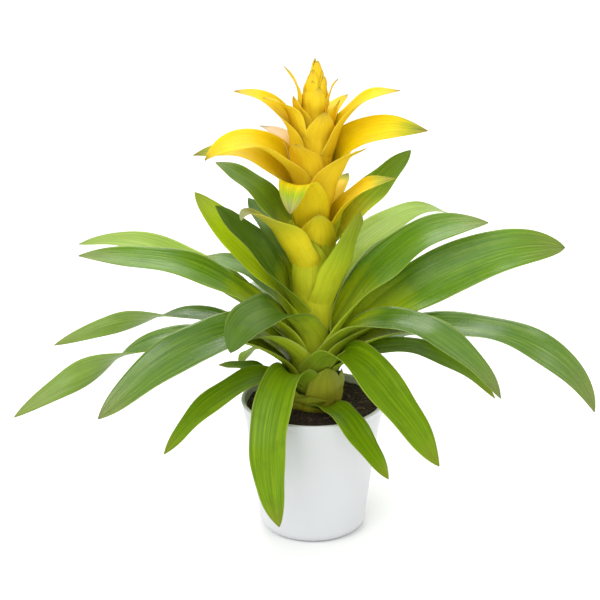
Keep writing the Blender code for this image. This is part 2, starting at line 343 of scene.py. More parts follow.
class Tissue(Enum):
    """The finishes that leaves and bracts come in."""

    # Hanging leaves: a deep, even green that only pales at the very foot.
    LOW_LEAF = TissueFinish("leaf_tissue_low",
        ((0.0, "#8C9020"), (0.12, "#668206"), (0.4, "#5E8002"), (0.85, "#668802"),
         (1.0, "#7A821C")),
        under="#8AA22A", edge="#AEBB4C", vein="#8CA812", roughness=0.38, shade="#426202")
    # Arching leaves: dark green over a lime foot, the waxiest, with a broad cool gloss.
    ARCH_LEAF = TissueFinish("leaf_tissue_arch",
        ((0.0, "#BCC014"), (0.17, "#A8B80E"), (0.34, "#426A04"), (0.8, "#507602"),
         (1.0, "#6A7424")),
        under="#84A024", edge="#A3B454", vein="#88A23A", roughness=0.26, coat=0.1, gloss=0.6,
        shade="#3A5A10")
    # Standing leaves: a longer lime foot, partly their own colour and partly painted light against
    # the shade deep in the funnel, and a softer gloss.
    HIGH_LEAF = TissueFinish("leaf_tissue_high",
        ((0.0, "#C8D012"), (0.24, "#B4C60E"), (0.42, "#568002"), (0.8, "#588202"),
         (1.0, "#6E7C2C")),
        under="#98B428", edge="#AEBE58", vein="#8AA23C", roughness=0.3, coat=0.04, gloss=0.3,
        shade="#42661A")
    # Leaves at the back: pale and matt, so that they fall behind the others.
    PALE_LEAF = TissueFinish("leaf_tissue_pale",
        ((0.0, "#B4BC30"), (0.2, "#9CB234"), (0.6, "#90AE44"), (1.0, "#869C50")),
        under="#AAC260", edge="#BECA74", vein="#AFC466", roughness=0.42, shade="#7A9A34")
    # The upright young leaf: lime all over, hardly patched.
    LIME_LEAF = TissueFinish("leaf_tissue_lime",
        ((0.0, "#B6C016"), (0.3, "#B2C80C"), (0.75, "#A8C40C"), (1.0, "#8A9A3A")),
        under="#B8CC28", edge="#B4C240", vein="#B2C638", roughness=0.4, gloss=0.12,
        patch_share=0.15, shade="#809C10")
    # Inner leaves in the shade of the others: the darkest green.
    DARK_LEAF = TissueFinish("leaf_tissue_dark",
        ((0.0, "#BEC414"), (0.22, "#A4B410"), (0.4, "#4E6E14"), (1.0, "#4A6A18")),
        under="#6F8A20", edge="#8EA052", vein="#6A8630", roughness=0.36, gloss=0.18,
        shade="#2C4812")
    # A leaf on the spike: yellow foot, then green like the rosette.
    SPIKE_LEAF_GREEN = TissueFinish("leaf_tissue_spike_green",
        ((0.0, "#CCC61E"), (0.22, "#A4B01E"), (0.4, "#6A8A18"), (0.85, "#5C8014"),
         (1.0, "#6C7C30")),
        under="#A8B850", edge="#AEBC46", vein="#86A02E", roughness=0.36, shade="#48681A")
    # A leaf on the spike that stays yellow for half its length.
    SPIKE_LEAF_YELLOW = TissueFinish("leaf_tissue_spike_yellow",
        ((0.0, "#D2C81C"), (0.42, "#CED22C"), (0.56, "#98B81C"), (0.7, "#5E8A12"),
         (1.0, "#54781A")),
        under="#A8C030", edge="#BCC84A", vein="#A8C034", roughness=0.38, shade="#7C921C")
    # Lowest bracts: yellow-green cups with a dark green end.
    GREEN_CUP = bract_tissue("bract_tissue_green_cup",
        ((0.0, "#BCBA1A"), (0.42, "#B2BA16"), (0.6, "#7E9E12"), (0.76, "#4E7410"),
         (1.0, "#4A5620")),
        under="#A0B01E", edge="#6C8E1A", vein="#C6CA34", roughness=0.42, shade="#98A01C")
    # Short cups that clasp the spike: lime with a green rim.
    GREEN_CUP_SHORT = bract_tissue("bract_tissue_lime",
        ((0.0, "#A8A818"), (0.3, "#B6B81A"), (0.8, "#B4BC1C"), (0.96, "#86A01C"), (1.0, "#5E7A20")),
        under="#B8BC20", edge="#C4CA40", vein="#C4C834", roughness=0.42, shade="#949C1C")
    # Short cups higher up: dull yellow with an olive rim, and a darker foot that is partly their
    # own colour and partly painted shade where they clasp the spike.
    OLIVE_CUP = bract_tissue("bract_tissue_olive",
        ((0.0, "#B8AE12"), (0.3, "#CCBA10"), (0.85, "#D6C20E"), (0.97, "#B4B42A"),
         (1.0, "#7A7A3A")),
        under="#CCBC14", edge="#D8CA44", vein="#DCCC30", roughness=0.44, shade="#ACA010")
    # The bract that curls over: yellow, its grey-green tip starting to dry.
    CURLED = bract_tissue("bract_tissue_curled",
        ((0.0, "#CCBE12"), (0.42, "#D2C014"), (0.58, "#A4AA20"), (0.75, "#808E3C"),
         (1.0, "#929A80")),
        under="#D6C814", edge="#CCCC44", vein="#D4CC3C", shade="#A8A014")
    # The bract folded down in front: gold, a green border, then a grey dry tip.
    FOLDED = bract_tissue("bract_tissue_folded",
        ((0.0, "#D2BC0E"), (0.6, "#E8C80C"), (0.72, "#DCC80E"), (0.82, "#7EA812"),
         (0.92, "#7E9060"), (1.0, "#62625A")),
        under="#DCC414", edge="#D6C83A", vein="#F0DA2A", shade="#BCA80E")
    # Golden bracts that end in a green and then dark tip; the olive foot is partly the bract's own
    # greener base and partly painted shade inside the cup.
    GREEN_TIPPED = bract_tissue("bract_tissue_green_tip",
        ((0.0, "#BEB20A"), (0.3, "#DCC206"), (0.74, "#EFCA02"), (0.84, "#9CA81C"),
         (0.92, "#54782A"), (1.0, "#4A4A34")),
        under="#DEC20C", edge="#E6CE40", vein="#F4D618", shade="#CDB808")
    # Golden bracts: lemon in the body, warmer to the end, dark at the very point; the olive foot is
    # partly the bract's own greener base and partly painted shade inside the cup.
    GOLD = bract_tissue("bract_tissue_gold",
        ((0.0, "#BCB00A"), (0.25, "#DCC006"), (0.8, "#EFCA02"), (0.94, "#D8B42A"),
         (1.0, "#5A5434")),
        under="#DCBA34", edge="#E8CE50", vein="#F4D414", shade="#D0B808")
    # The bract that dries: gold foot, then straw and papery pink-beige, very matt.
    DRY_BACK = bract_tissue("bract_tissue_dry",
        ((0.0, "#DCB018"), (0.4, "#E6C050"), (0.65, "#DCBC8C"), (0.86, "#D0B498"),
         (0.96, "#4E5A40"), (1.0, "#38402C")),
        under="#E8CC98", edge="#EEDCB6", vein="#F4E0A8", roughness=0.55, shade="#D8B058")
    # Leaf bases at the soil: brown at the foot, then a dull olive green.
    SHEATH = TissueFinish("leaf_tissue_sheath",
        ((0.0, "#6A5426"), (0.2, "#8A7E22"), (0.5, "#9A9C1E"), (0.8, "#86981A"), (1.0, "#6E8C18")),
        under="#988E24", edge="#AEB450", vein="#B0B640", roughness=0.42, shade="#747820")


# ---- blades


STEM_SHAPE = ((100.0, 13.0), (124.0, 18.5), (150.0, 18.0), (200.0, 16.0), (250.0, 13.0),
              (300.0, 12.0), (360.0, 10.5), (396.0, 7.6), (410.0, 6.4))
FOOT_CLEARANCE = 0.6  # from the stem to the foot of a midrib
BUD_FOOT = 410.5
BUD_LEAN = 0.05  # how far the bud leans to the right as it rises
MIDRIB_STEPS = 160
BLADE_JOINT = 9  # the midrib's step where the sheath passes into the blade
SHEATH_STEPS = 24
SHEATH_MIDDLE = 12  # the step in the sheath that counts as the blade's foot
SHEATH_REACH = 0.42  # how stiffly the sheath bends, as a share of its length
TIP_WIDTH = 0.9  # width of the blunt end of a blade
MARGIN_THINNING = 0.65  # share of the wall that is lost at a blade's margin
SWING = 0.9  # height of the slow wave along the middle of a blade
CREASE = 0.35  # depth of the fold along the midrib
CREASE_WIDTH = 0.1  # share of the half width that the fold takes


def stem_radius(height: float) -> float:
    """Radius of the stem at a height, both in millimetres."""
    return float(np.interp(height, [h for h, _ in STEM_SHAPE], [r for _, r in STEM_SHAPE]))


def ease(start: float, end: float, value: np.ndarray) -> np.ndarray:
    """Ease from 0 at `start` to 1 at `end`."""
    share = np.clip((value - start) / (end - start), 0.0, 1.0)
    return share * share * (3.0 - 2.0 * share)


def bezier(start: np.ndarray, first: np.ndarray, second: np.ndarray, end: np.ndarray,
           steps: np.ndarray) -> np.ndarray:
    """Points of a cubic curve at the given steps."""
    share = steps[:, None]
    rest = 1.0 - share
    return (rest ** 3 * start + 3.0 * rest ** 2 * share * first
            + 3.0 * rest * share ** 2 * second + share ** 3 * end)


@dataclass(frozen=True)
class Blade:
    """One leaf or bract that grows from the stem at `foot` and ends at (reach, tip).

    `turn` is its azimuth and `sway` how far that changes up to the tip. `rise` and `fall`
    are the midrib's slopes at its ends and `bow` how far each carries. `roll` turns the
    face of the blade and `twist` the part of it in `twist_span`. `hug` is the share that
    wraps the stem, on a radius of at most `cup`, and `channel` the depth of the gutter.
    `base` is the width at the foot, `clasp` its widening where it holds the stem and
    `blunt` the fullness of the tip, all as shares. `sheath` is the length that runs down
    the stem, `swell` its distance from the stem there and `full` that of the foot. `wave`
    is the height of the margin's `ripples`, and `lean` the bud's tilt.
    """

    node: str
    turn: float
    foot: float
    reach: float
    tip: float
    rise: float
    fall: float
    width: float
    tissue: Tissue
    bow: tuple[float, float] = (0.38, 0.38)
    sway: float = 0.0
    roll: float = 0.0
    twist: float = 0.0
    twist_span: tuple[float, float] = (0.5, 0.85)
    hug: float = 0.34
    channel: float = 0.1
    base: float = 0.95
    is_bract: bool = False
    wave: float = 1.2
    ripples: float = 3.0
    thickness: float = 0.9
    sheath: float = 30.0
    clasp: float = 1.2
    swell: float = 1.5
    full: float = 3.5
    cup: float = 23.0
    lean: float = 0.0
    blunt: float = 1.08
    start_radius: float | None = None
    cells: tuple[int, int] = (66, 16)

    def midrib(self) -> tuple[np.ndarray, ...]:
        """Sample the midrib, first up the sheath that clasps the stem, then the blade.

        Returns:
            Points, tangents, azimuths, radii, shares of the blade's length (negative in the
            lower half of the sheath) and lengths from the first point.
        """
        radius = stem_radius(self.foot) + FOOT_CLEARANCE
        if self.start_radius is not None:
            radius = self.start_radius
        start = np.array([radius, self.foot])
        end = np.array([self.reach, self.tip])
        chord = float(np.linalg.norm(end - start))
        rise, fall = math.radians(self.rise), math.radians(self.fall)
        handle_a = start + self.bow[0] * chord * np.array([math.cos(rise), math.sin(rise)])
        handle_b = end - self.bow[1] * chord * np.array([math.cos(fall), math.sin(fall)])
        step = np.linspace(0.0, 1.0, MIDRIB_STEPS)
        flat = bezier(start, handle_a, handle_b, end, step)
        flat[:, 0] += self.full * (1.0 - step) ** 2
        blade_foot = 0
        if self.sheath:
            joint = np.array(flat[BLADE_JOINT])
            ahead = flat[BLADE_JOINT + 1] - flat[BLADE_JOINT]
            ahead /= np.linalg.norm(ahead)
            low = np.array([stem_radius(self.foot - self.sheath) + self.swell,
                            self.foot - self.sheath])
            reach = SHEATH_REACH * float(np.linalg.norm(joint - low))
            clasping = bezier(low, low + np.array([0.0, reach]), joint - reach * ahead, joint,
                              np.linspace(0.0, 1.0, SHEATH_STEPS))
            flat = np.concatenate([clasping, flat[BLADE_JOINT + 1:]])
            step = np.concatenate([np.zeros(SHEATH_STEPS), step[BLADE_JOINT + 1:]])
            blade_foot = SHEATH_MIDDLE
        turn = np.radians(self.turn + self.sway * step ** 2)
        points = np.stack([flat[:, 0] * np.cos(turn) + self.lean * (flat[:, 1] - BUD_FOOT),
                           flat[:, 0] * np.sin(turn), flat[:, 1]], axis=1)
        length = np.concatenate([[0.0],
                                 np.cumsum(np.linalg.norm(np.diff(points, axis=0), axis=1))])
        tangents = np.gradient(points, length, axis=0)
        tangents /= np.linalg.norm(tangents, axis=1)[:, None]
        share = (length - length[blade_foot]) / (length[-1] - length[blade_foot])
        return points, tangents, turn, flat[:, 0], share, length

    def width_share(self, share: np.ndarray) -> np.ndarray:
        """Work out how wide the blade is along its length.

        Args:
            share: Shares of the blade from foot to tip, negative in the sheath.

        Returns:
            Widths as shares of the full width.
        """
        # Where the blade starts to widen and is widest, and how late and sharply it tapers.
        start, widest, late, sharp = ((0.0, 0.42, 2.6, 0.95) if self.is_bract
                                      else (0.05, 0.45, 4.2, 0.85))
        out = np.clip(share, 0.0, 1.0)
        full = self.base + (1.0 - self.base) * ease(start, widest, out)
        taper = np.maximum(0.0, 1.0 - out ** (late * self.blunt)) ** (sharp / self.blunt)
        return full * taper * (1.0 + (self.clasp - 1.0) * (1.0 - ease(-0.03, 0.16, share)))

    def surface(self, along: np.ndarray, across: np.ndarray) -> tuple[np.ndarray, ...]:
        """Points of the upper face.

        Args:
            along: Shares of the whole length, 0 at the sheath's foot and 1 at the tip.
            across: Shares of the half width, -1 to 1.

        Returns:
            The points, their lengths along the midrib and their shares of the blade.
        """
        points, tangents, turns, radii, shares, length = self.midrib()
        place = along * length[-1]

        def at(values: np.ndarray) -> np.ndarray:
            """Interpolate rows of the midrib at the places asked for."""
            return np.stack([np.interp(place, length, values[:, axis]) for axis in range(3)], 1)

        point, tangent = at(points), at(tangents)
        tangent /= np.linalg.norm(tangent, axis=1)[:, None]
        turn = np.interp(place, length, turns)
        share = np.interp(place, length, shares)
        # Across the blade and out of its face: level at first, then rolled and twisted.
        side = np.stack([-np.sin(turn), np.cos(turn), np.zeros_like(turn)], axis=1)
        side -= (side * tangent).sum(1)[:, None] * tangent
        side /= np.linalg.norm(side, axis=1)[:, None]
        face = np.cross(tangent, side)
        spin = np.radians(self.roll * ease(0.05, 0.5, share)
                          + self.twist * ease(*self.twist_span, share))
        cos, sin = np.cos(spin)[:, None], np.sin(spin)[:, None]
        side, face = side * cos + face * sin, face * cos - side * sin
        width = np.maximum(self.width * self.width_share(share), TIP_WIDTH)
        # Round the stem at the foot, and a shallow gutter from there on.
        hold = 1.0 - ease(self.hug * 0.3, self.hug * 1.5, share)
        around = np.clip(np.interp(place, length, radii), 4.0, self.cup)
        curve = hold / around + (1.0 - hold) * 8.0 * self.channel / self.width
        bend = across * width / 2.0 * curve
        # Rippled margins, a slow wave of the whole width and a fold along the middle.
        ripple = (self.wave * np.abs(across) ** 3 * ease(0.12, 0.35, share)
                  * np.sin(math.tau * self.ripples * share + self.turn + 1.7 * np.sign(across)))
        swing = SWING * ease(0.15, 0.4, share) * np.sin(math.tau * 2.3 * share + self.turn)
        crease = -CREASE * np.exp(-(across / CREASE_WIDTH) ** 2) * ease(0.1, 0.3, share)
        lift = (1.0 - np.cos(bend)) / curve + (ripple + crease + swing) * width / self.width
        return (point + side * (np.sin(bend) / curve)[:, None] + face * lift[:, None],
                place, share)

    def build(self) -> bpy.types.Object:
        """Shape a grid into the blade, give it a thin wall and its two finishes.

        Returns:
            The finished object.
        """
        data = bmesh.new()
        bmesh.ops.create_grid(data, x_segments=self.cells[1], y_segments=self.cells[0], size=0.5)
        data.verts.ensure_lookup_table()
        flat = np.array([corner.co[:2] for corner in data.verts])
        along = np.clip(flat[:, 1] + 0.5, 0.0, 1.0)
        across = -2.0 * flat[:, 0]
        points, place, share = self.surface(along, across)
        foot_share = np.clip(share, 0.0, 1.0)
        shape = data.loops.layers.uv.new("shape")
        size = data.loops.layers.uv.new("size")
        # Each blade takes its own part of the pattern, a few centimetres from the next.
        shift = (self.turn * 0.37 + self.foot * 0.11) % 7.0
        for piece in data.faces:
            piece.smooth = True
            for loop in piece.loops:
                index = loop.vert.index
                loop[shape].uv = (0.5 + across[index] / 2.0, foot_share[index])
                loop[size].uv = (across[index] * self.width / 2.0 / CM + shift,
                                 place[index] / CM + shift)
        for corner, point in zip(data.verts, points):
            corner.co = Vector(point) * MM
        item = finish_object(f"{self.node}_blade", data)
        item.data.materials.append(self.tissue.value.face())
        item.data.materials.append(self.tissue.value.back())
        body = item.vertex_groups.new(name="body")
        for index, aside in enumerate(across):
            body.add([index], float(1.0 - MARGIN_THINNING * abs(aside) ** 4), "REPLACE")
        wall = item.modifiers.new("wall", "SOLIDIFY")
        wall.thickness = self.thickness * MM
        wall.offset = -1.0
        wall.vertex_group = body.name
        wall.material_offset = 1
        wall.material_offset_rim = 1
        return item


def new_object(name: str, data: bpy.types.ID) -> bpy.types.Object:
    """Put a new object with its data into the scene."""
    item = bpy.data.objects.new(name, data)
    bpy.context.scene.collection.objects.link(item)
    return item


def finish_object(name: str, data: bmesh.types.BMesh) -> bpy.types.Object:
    """Turn a bmesh into an object in the scene.

    Args:
        name: The object's name.
        data: The mesh to use; it is freed.

    Returns:
        The new object.
    """
    mesh = bpy.data.meshes.new(name)
    data.to_mesh(mesh)
    data.free()
    return new_object(name, mesh)


def leaf(node: str, turn: float, foot: float, reach: float, tip: float, rise: float,
         fall: float, width: float, tissue: Tissue = Tissue.ARCH_LEAF, **more: Any) -> Blade:
    """A strap leaf of the rosette."""
    return Blade(node, turn, foot, reach, tip, rise, fall, width, tissue, **more)


def bract(node: str, turn: float, foot: float, reach: float, tip: float, rise: float,
          fall: float, width: float, tissue: Tissue = Tissue.GOLD, **more: Any) -> Blade:
    """A cupped bract of the flower spike."""
    usual = dict(bow=(0.5, 0.42), hug=0.5, channel=0.14, blunt=1.1, is_bract=True, wave=1.6,
                 ripples=2.0, thickness=0.8, clasp=1.0, swell=1.0, full=5.5, cup=20.0,
                 cells=(54, 20))
    return Blade(node, turn, foot, reach, tip, rise, fall, width, tissue, **(usual | more))


@dataclass
class Rosette:
    """The strap leaves: low ones that hang, middle ones that arch, high ones that stand.

    Each has a name, turn, foot, reach, tip, rise, fall and width, as `Blade` explains.
    """

    blades: list[Blade] = field(default_factory=lambda: [
        leaf("leaf_low_front", -120, 158, 110, 47, 62, -102, 41, Tissue.LOW_LEAF, bow=(0.42, 0.6),
             sway=13, ripples=4.0, full=8.0, clasp=1.35),
        leaf("leaf_low_front_right", -68, 136, 138, 104, 24, -48, 30, Tissue.LOW_LEAF, sway=8,
             full=12.0, clasp=1.3),
        leaf("leaf_low_left", 205, 148, 156, 104, 50, -50, 33, Tissue.LOW_LEAF, roll=-12),
        leaf("leaf_low_left_short", 168, 142, 94, 160, 22, -10, 28, Tissue.LOW_LEAF),
        leaf("leaf_low_right", -12, 166, 177, 149, 43, -50, 30, Tissue.LOW_LEAF, bow=(0.42, 0.4),
             roll=12),
        leaf("leaf_low_back", 90, 146, 165, 120, 40, -60, 34, Tissue.LOW_LEAF),
        leaf("leaf_low_back_left", 128, 154, 120, 128, 42, -60, 28, Tissue.LOW_LEAF),
        leaf("leaf_low_back_right", 62, 150, 140, 125, 42, -60, 30, Tissue.LOW_LEAF),
        leaf("leaf_mid_front_right", -54, 174, 169, 119, 60, -50, 49, Tissue.LOW_LEAF,
             bow=(0.36, 0.45), sway=7, full=8.0, clasp=1.3),
        leaf("leaf_mid_back_left", 148, 162, 131, 147, 46, -70, 28, bow=(0.45, 0.5)),
        leaf("leaf_mid_left", 205, 178, 218, 149, 58, -42, 49, bow=(0.42, 0.4), roll=-25, sway=-2),
        leaf("leaf_mid_left_long", 190, 165, 288, 135, 48, -36, 34, roll=-10, twist=140),
        leaf("leaf_mid_left_curled", 172, 172, 256, 174, 45, -26, 25, bow=(0.44, 0.3), roll=-10,
             twist=120, twist_span=(0.45, 0.8)),
        leaf("leaf_mid_front_left", -130, 206, 119, 218, 64, -62, 55, Tissue.DARK_LEAF,
             bow=(0.48, 0.4), roll=-8, hug=0.42, cup=27.0),
        leaf("leaf_mid_right_long", -8, 171, 271, 135, 47, -74, 38, roll=15, twist=65,
             twist_span=(0.5, 0.95)),
        leaf("leaf_mid_right", -25, 186, 192, 168, 62, -60, 42, bow=(0.44, 0.4), roll=10),
        leaf("leaf_mid_back_right", 40, 158, 161, 160, 37, -12, 30),
        leaf("leaf_mid_back_a", 115, 180, 190, 175, 48, -45, 38),
        leaf("leaf_mid_back_b", 78, 187, 185, 190, 50, -45, 36),
        leaf("leaf_high_right_wide", 8, 180, 245, 276, 38, -10, 54, Tissue.HIGH_LEAF,
             bow=(0.3, 0.38), roll=45, blunt=1.25),
        leaf("leaf_high_right", 10, 197, 170, 303, 61, -8, 48, Tissue.HIGH_LEAF, roll=24),
        leaf("leaf_high_right_behind", 48, 225, 226, 257, 75, -45, 38, Tissue.PALE_LEAF,
             bow=(0.28, 0.38), roll=6),
        leaf("leaf_high_back_right", 60, 193, 144, 262, 52, 8, 38, Tissue.DARK_LEAF),
        leaf("leaf_high_left", 188, 198, 221, 291, 48, 2, 40, Tissue.HIGH_LEAF, bow=(0.42, 0.4),
             roll=-24),
        leaf("leaf_high_left_behind", 160, 189, 246, 262, 42, -22, 32, Tissue.PALE_LEAF,
             bow=(0.3, 0.38), roll=-25),
        leaf("leaf_high_left_short", 164, 213, 112, 267, 63, -5, 33, Tissue.HIGH_LEAF, roll=-12),
        leaf("leaf_high_left_upright", 172, 223, 113, 338, 64, 52, 36, Tissue.LIME_LEAF, roll=-50),
        leaf("leaf_high_back_left", 130, 243, 98, 313, 74, 30, 32, Tissue.DARK_LEAF, roll=-12),
        leaf("leaf_high_left_folded", 206, 227, 100, 344, 64, 50, 40, Tissue.DARK_LEAF, roll=-45,
             channel=0.2),
        leaf("leaf_high_back", 98, 206, 130, 262, 62, 0, 38, Tissue.HIGH_LEAF),
    ])

    def build(self) -> None:
        """Build every leaf and let it stand for its CAD solid."""
        for blade in self.blades:
            settle(blade.build(), "leaf", blade.node)


# How the short cups hold the spike.
CLASP: dict[str, float] = dict(hug=0.8, cup=22.0, wave=1.4, blunt=1.2)

# The record's slots for the spike's green pieces; every other piece of it is a golden bract.
SPIKE_SLOTS: dict[Tissue, str] = {
    Tissue.SPIKE_LEAF_GREEN: "spike_leaf", Tissue.SPIKE_LEAF_YELLOW: "spike_leaf",
    Tissue.GREEN_CUP: "green_bract", Tissue.GREEN_CUP_SHORT: "green_bract",
    Tissue.OLIVE_CUP: "green_bract", Tissue.CURLED: "green_bract"}


@dataclass
class Spike:
    """The flower spike: two leaves low on it, bracts up to its top, and the closed bud.

    Each row of the bud has a count, foot, reach, tip and width, and each next row is turned
    by `bud_turn`, so that its bracts close the gaps of the one below.
    """

    bud_rows: tuple[tuple[int, float, float, float, float], ...] = (
        (4, 398.0, 9.5, 446.0, 22.0), (4, 406.0, 7.5, 455.0, 20.0), (3, 414.0, 5.0, 463.0, 18.0),
        (3, 422.0, 1.6, 471.0, 14.0))
    bud_start: float = 20.0
    bud_turn: float = 47.0
    blades: list[Blade] = field(default_factory=lambda: [
        leaf("spike_leaf_left", 157, 292, 101, 360, 48, 12, 33, Tissue.SPIKE_LEAF_GREEN, roll=-15),
        leaf("spike_leaf_right", 20, 288, 98, 374, 52, 45, 42, Tissue.SPIKE_LEAF_YELLOW, roll=15),
        bract("bract_low_front_right", -40, 238, 55, 335, 62, 75, 50, Tissue.GREEN_CUP, hug=0.9,
              cup=24.0, blunt=1.25, wave=2.2),
        bract("bract_low_back", 95, 256, 78, 312, 66, 0, 40, Tissue.GREEN_CUP),
        bract("bract_low_left", 220, 268, 87, 334, 64, -80, 60, Tissue.CURLED, bow=(0.62, 0.2),
              hug=0.75, cup=24.0),
        bract("bract_low_back_right", 66, 294, 84, 338, 66, 0, 36, Tissue.GREEN_TIPPED),
        bract("bract_mid_right", -10, 300, 76, 361, 68, 14, 40, Tissue.GREEN_TIPPED, roll=12),
        bract("bract_mid_back", 110, 305, 80, 345, 68, -10, 38, Tissue.GREEN_TIPPED),
        bract("bract_mid_front", -110, 315, 63, 341, 74, -82, 50, Tissue.FOLDED, bow=(1.1, 0.6)),
        bract("bract_mid_back_left", 124, 319, 80, 362, 68, -10, 34),
        bract("bract_mid_left_lower", 180, 329, 112, 379, 70, -18, 40, Tissue.GREEN_TIPPED,
              bow=(0.42, 0.45), roll=-20),
        bract("bract_mid_front_right", -40, 334, 62, 398, 72, 30, 48),
        bract("bract_mid_back_right", 56, 330, 80, 374, 68, -5, 34),
        bract("bract_mid_left_long", 200, 346, 106, 385, 75, -45, 50, bow=(0.42, 0.45), roll=-16,
              hug=0.6),
        bract("bract_high_right_wide", -10, 352, 106, 408, 74, -6, 42, Tissue.GREEN_TIPPED,
              bow=(0.38, 0.6), roll=38),
        bract("bract_high_back_left", 144, 358, 63, 397, 72, 0, 28, Tissue.DRY_BACK),
        bract("bract_high_back", 90, 343, 60, 398, 68, -10, 34),
        bract("bract_high_left", 190, 368, 74, 444, 76, 8, 46, roll=-12),
        bract("bract_high_right", -10, 373, 80, 445, 72, 6, 42, roll=8),
        bract("bract_high_front_left", 212, 380, 54, 442, 76, 15, 34),
        bract("bract_high_back_right", 50, 390, 50, 427, 80, 15, 28),
        bract("bract_tip_left", 180, 400, 27, 464, 84, 48, 24, bow=(0.5, 0.35)),
        bract("bract_tip_right", 0, 396, 22, 452, 86, 50, 21, bow=(0.5, 0.35)),
    ])

    fillers: list[Blade] = field(default_factory=lambda: [
        bract("spike_cup_low", -96, 236, 25, 304, 82, 84, 50, Tissue.GREEN_CUP_SHORT, **CLASP),
        bract("spike_cup_left", -140, 252, 27, 322, 82, 80, 44, Tissue.GREEN_CUP_SHORT, **CLASP),
        bract("spike_cup_front", -80, 268, 30, 331, 80, 74, 52, Tissue.OLIVE_CUP, **CLASP),
        bract("spike_cup_right", -20, 262, 27, 330, 80, 78, 44, Tissue.GREEN_CUP_SHORT, **CLASP),
        bract("spike_cup_middle", -116, 340, 36, 400, 80, 50, 46, **CLASP),
        bract("spike_cup_top", -70, 362, 29, 428, 84, 66, 42, **CLASP),
        bract("spike_cup_top_right", -30, 380, 27, 436, 84, 66, 30, **CLASP),
        bract("spike_cup_top_left", -140, 384, 24, 440, 84, 70, 30, **CLASP),
        bract("spike_cup_back", 90, 366, 26, 426, 84, 70, 38, **CLASP),
        bract("spike_cup_back_low", 80, 262, 28, 326, 82, 78, 46, Tissue.OLIVE_CUP, **CLASP),
    ])

    def build(self) -> None:
        """Build the spike's leaves, bracts, clasping cups and bud."""
        for blade in self.blades:
            settle(blade.build(), SPIKE_SLOTS.get(blade.tissue, "bract"), blade.node)
        for blade in self.fillers:
            settle(blade.build(), SPIKE_SLOTS.get(blade.tissue, "bract"))
        self.build_bud()

    def build_bud(self) -> None:
        """Close rows of small bracts over each other into the bud."""
        scales = []
        for row, (count, foot, reach, tip, width) in enumerate(self.bud_rows):
            for index in range(count):
                turn = 360.0 * index / count + self.bud_turn * row + self.bud_start
                scales.append(bract(
                    f"bud_scale_{row}_{index}", turn, foot, reach, tip - 1.5 * (index % 3), 80,
                    108, width, bow=(0.36, 0.36), hug=1.6, base=0.9, sheath=0.0, full=0.0,
                    cup=9.0, blunt=1.6, lean=BUD_LEAN, start_radius=8.4 - 0.6 * row,
                    cells=(28, 12), wave=0.3))
        settle(scales[0].build(), "bud", "bud")
        for scale in scales[1:]:
            settle(scale.build(), "bud")


def settle(item: bpy.types.Object, slot: str, *nodes: str) -> None:
    """Let a piece ride on the object and stand for its CAD solids.

    Args:
        item: The finished piece.
        slot: The record's material slot it belongs to; not used.
        nodes: The CAD nodes that it replaces, if any.
    """
    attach(item, "root")
    if nodes:
        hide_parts(*nodes)
    LOG.info("%s in place (%d faces)", item.name, len(item.data.polygons))


# ---- stem and soil


def lathe(name: str, outline: list[tuple[float, float]], steps: int) -> bpy.types.Object:
    """Spin an outline that starts and ends on the axis into a closed, smooth body.

    Args:
        name: The object's name.
        outline: Points of (radius, height) in millimetres.
        steps: Segments around the axis.

    Returns:
        The turned object.
    """
    data = bmesh.new()
    corners = [data.verts.new((radius * MM, 0.0, height * MM)) for radius, height in outline]
    edges = [data.edges.new(pair) for pair in zip(corners, corners[1:])]
    bmesh.ops.spin(data, geom=corners + edges, cent=(0.0, 0.0, 0.0), axis=(0.0, 0.0, 1.0),
                   angle=math.tau, steps=steps, use_merge=True)
    bmesh.ops.remove_doubles(data, verts=data.verts, dist=1e-7)
    bmesh.ops.recalc_face_normals(data, faces=data.faces)
    for piece in data.faces:
        piece.smooth = True
    return finish_object(name, data)


def arc(centre: tuple[float, float], radius: float, start: float, end: float,
        steps: int) -> list[tuple[float, float]]:
    """Points on an arc in the (radius, height) plane, angles in degrees."""
    angles = np.radians(np.linspace(start, end, steps + 1))
    return [(centre[0] + radius * math.cos(a), centre[1] + radius * math.sin(a)) for a in angles]


GOLDEN_ANGLE = 137.5  # from one leaf base to the next


@dataclass
class Stem:
    """The stem inside the leaf bases, and the cupped sheaths that bulge over the soil."""

    rings: int = 60
    steps: int = 64
    sheaths: int = 9
    first_turn: float = -115.0
    foot: float = 121.0
    reaches: tuple[float, ...] = (27.5, 29.1, 30.7)
    tops: tuple[float, ...] = (148.0, 157.0, 166.0, 175.0)
    radii: tuple[float, ...] = (16.5, 17.4, 18.3, 19.2)
    finish: Tissue = Tissue.SHEATH

    def build(self) -> None:
        """Build the core and the ring of sheaths around it."""
        self.build_core()
        self.build_sheaths()

    def build_core(self) -> None:
        """The stem itself, with both maps that its tissue needs."""
        low, high = STEM_SHAPE[0][0], STEM_SHAPE[-1][0]
        outline = [(stem_radius(height), float(height))
                   for height in np.linspace(low, high, self.rings)]
        core = lathe("stem_core", [(0.0, low)] + outline + [(0.0, high)], self.steps)
        shape = core.data.uv_layers.new(name="shape")
        size = core.data.uv_layers.new(name="size")
        for loop in core.data.loops:
            place = core.data.vertices[loop.vertex_index].co / MM
            turn = math.atan2(place.y, place.x) / math.tau
            shape.data[loop.index].uv = (0.5 + 0.4 * turn, (place.z - low) / (high - low))
            size.data[loop.index].uv = (turn * 8.0, place.z / CM)
        core.data.materials.append(self.finish.value.back())
        settle(core, "stem", "stem")

    def build_sheaths(self) -> None:
        """Old leaf bases around the core, of three reaches and four heights in turn."""
        for index in range(self.sheaths):
            blade = leaf(
                f"stem_sheath_{index + 1}", self.first_turn + index * GOLDEN_ANGLE, self.foot,
                self.reaches[index % 3], self.tops[index % 4], 50, 100, 46, self.finish,
                start_radius=self.radii[index % 4], hug=3.0, base=0.9, sheath=0.0, clasp=1.0,
                full=0.0, wave=0.4, cells=(26, 14))
            settle(blade.build(), "leaf")


